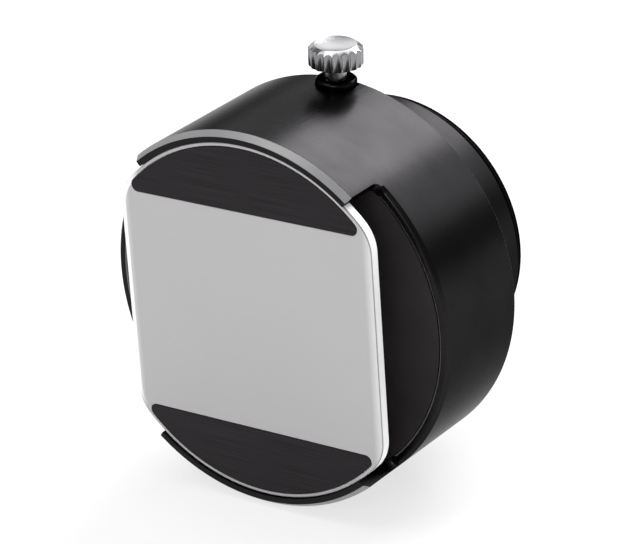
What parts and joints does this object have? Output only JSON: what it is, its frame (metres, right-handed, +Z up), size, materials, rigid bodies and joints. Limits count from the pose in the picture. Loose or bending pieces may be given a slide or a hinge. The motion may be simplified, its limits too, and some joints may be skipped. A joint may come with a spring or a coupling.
{
  "type": "slide duplicator",
  "caption": "Round adapter that screws on a lens's filter thread and holds film before a milky diffuser, for copying slides. It slides and turns on a tube, and a fluted knob locks it.",
  "frame": {"origin": "centre of the lens thread, in the plane of the flange that seats on the lens", "axes": "+Y along the optical axis towards the lens, -Y towards the diffuser, +Z up through the upper arch"},
  "size_m": [0.072, 0.0497, 0.0797],
  "materials": {
    "barrel": "satin black anodised",
    "opal": "milky white acrylic",
    "name_plate": "brushed, dark anodised",
    "guide": "black acetal",
    "blackened_steel": "black oxide",
    "bright_metal": "bright plated",
    "steel": "plain steel",
    "felt": "black felt",
    "brass": "plain brass"
  },
  "bodies": {
    "tube": {"mount_tube": "barrel", "thread_ring": "barrel", "ring_set_screws": "blackened_steel", "stop_ring": "blackened_steel"},
    "band": {"clamp_band": "guide"},
    "barrel": {"barrel": "barrel", "diffuser": "opal", "upper_name_plate": "name_plate", "lower_name_plate": "name_plate", "upper_guide": "guide", "lower_guide": "guide", "guide_screws": "blackened_steel", "stage_plate": "barrel", "stage_screws": "blackened_steel", "felt_ring": "felt", "screw_bush": "blackened_steel", "click_plug": "blackened_steel", "click_spring": "steel"},
    "shoe": {"clamp_shoe": "brass"},
    "knob": {"lock_knob": "bright_metal", "lock_screw": "bright_metal"},
    "ball": {"click_ball": "steel"}
  },
  "joints": [
    {"name": "extension", "type": "slide", "parent": "tube", "child": "band", "axis": [0, 1, 0], "range_m": [-0.00625, 0.0058]},
    {"name": "turning", "type": "hinge", "parent": "band", "child": "barrel", "pos_m": [0, 0, 0], "axis": [0, 1, 0], "continuous": true},
    {"name": "shoe_travel", "type": "slide", "parent": "barrel", "child": "shoe", "axis": [0.0523, 0, 0.9986], "range_m": [-0.00009, 0.00131]},
    {"name": "knob_turn", "type": "hinge", "parent": "shoe", "child": "knob", "pos_m": [0, -0.018, 0], "axis": [0.0523, 0, 0.9986], "range_deg": [-45, 675]},
    {"name": "click_press", "type": "slide", "parent": "barrel", "child": "ball", "axis": [0, 0, -1], "range_m": [0, 0.0007], "stiffness_N_per_m": 800, "springref_m": -0.0012, "deforming": ["click_spring"]}
  ],
  "couplings": [
    {"joint": "knob_turn", "follows": "shoe_travel", "rad_per_m": 8976}
  ]
}
